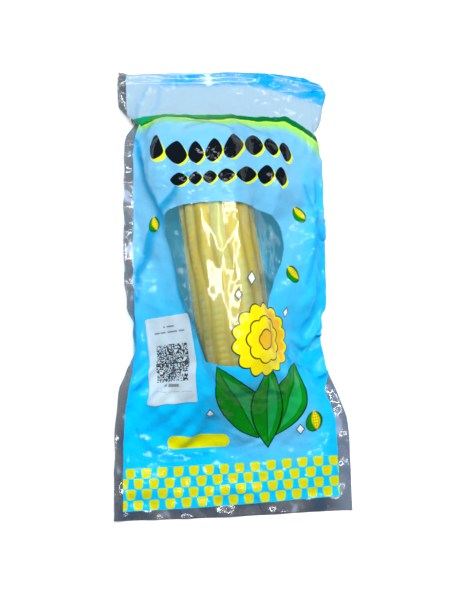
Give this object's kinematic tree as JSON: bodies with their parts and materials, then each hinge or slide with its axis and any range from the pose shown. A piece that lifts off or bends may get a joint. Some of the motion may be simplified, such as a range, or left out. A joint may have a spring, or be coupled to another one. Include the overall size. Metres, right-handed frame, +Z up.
{
  "type": "frozen sweet corn cob bag",
  "caption": "Flat sealed film pouch holding a sweet corn cob, with a clear window, clear seals and a paper label, lying on its back.",
  "frame": {"origin": "middle of the underside, on the surface that the bag lies on", "axes": "+Y along the bag towards its header, +X across it, +Z up out of the printed front"},
  "size_m": [0.1506, 0.3008, 0.0507],
  "materials": {
    "printed_film": "glossy printed film, sky blue",
    "label_paper": "satin white label paper",
    "sweet_corn": "moist yellow kernels"
  },
  "bodies": {
    "root": {"pouch": "printed_film", "label": "label_paper"}
  },
  "joints": []
}
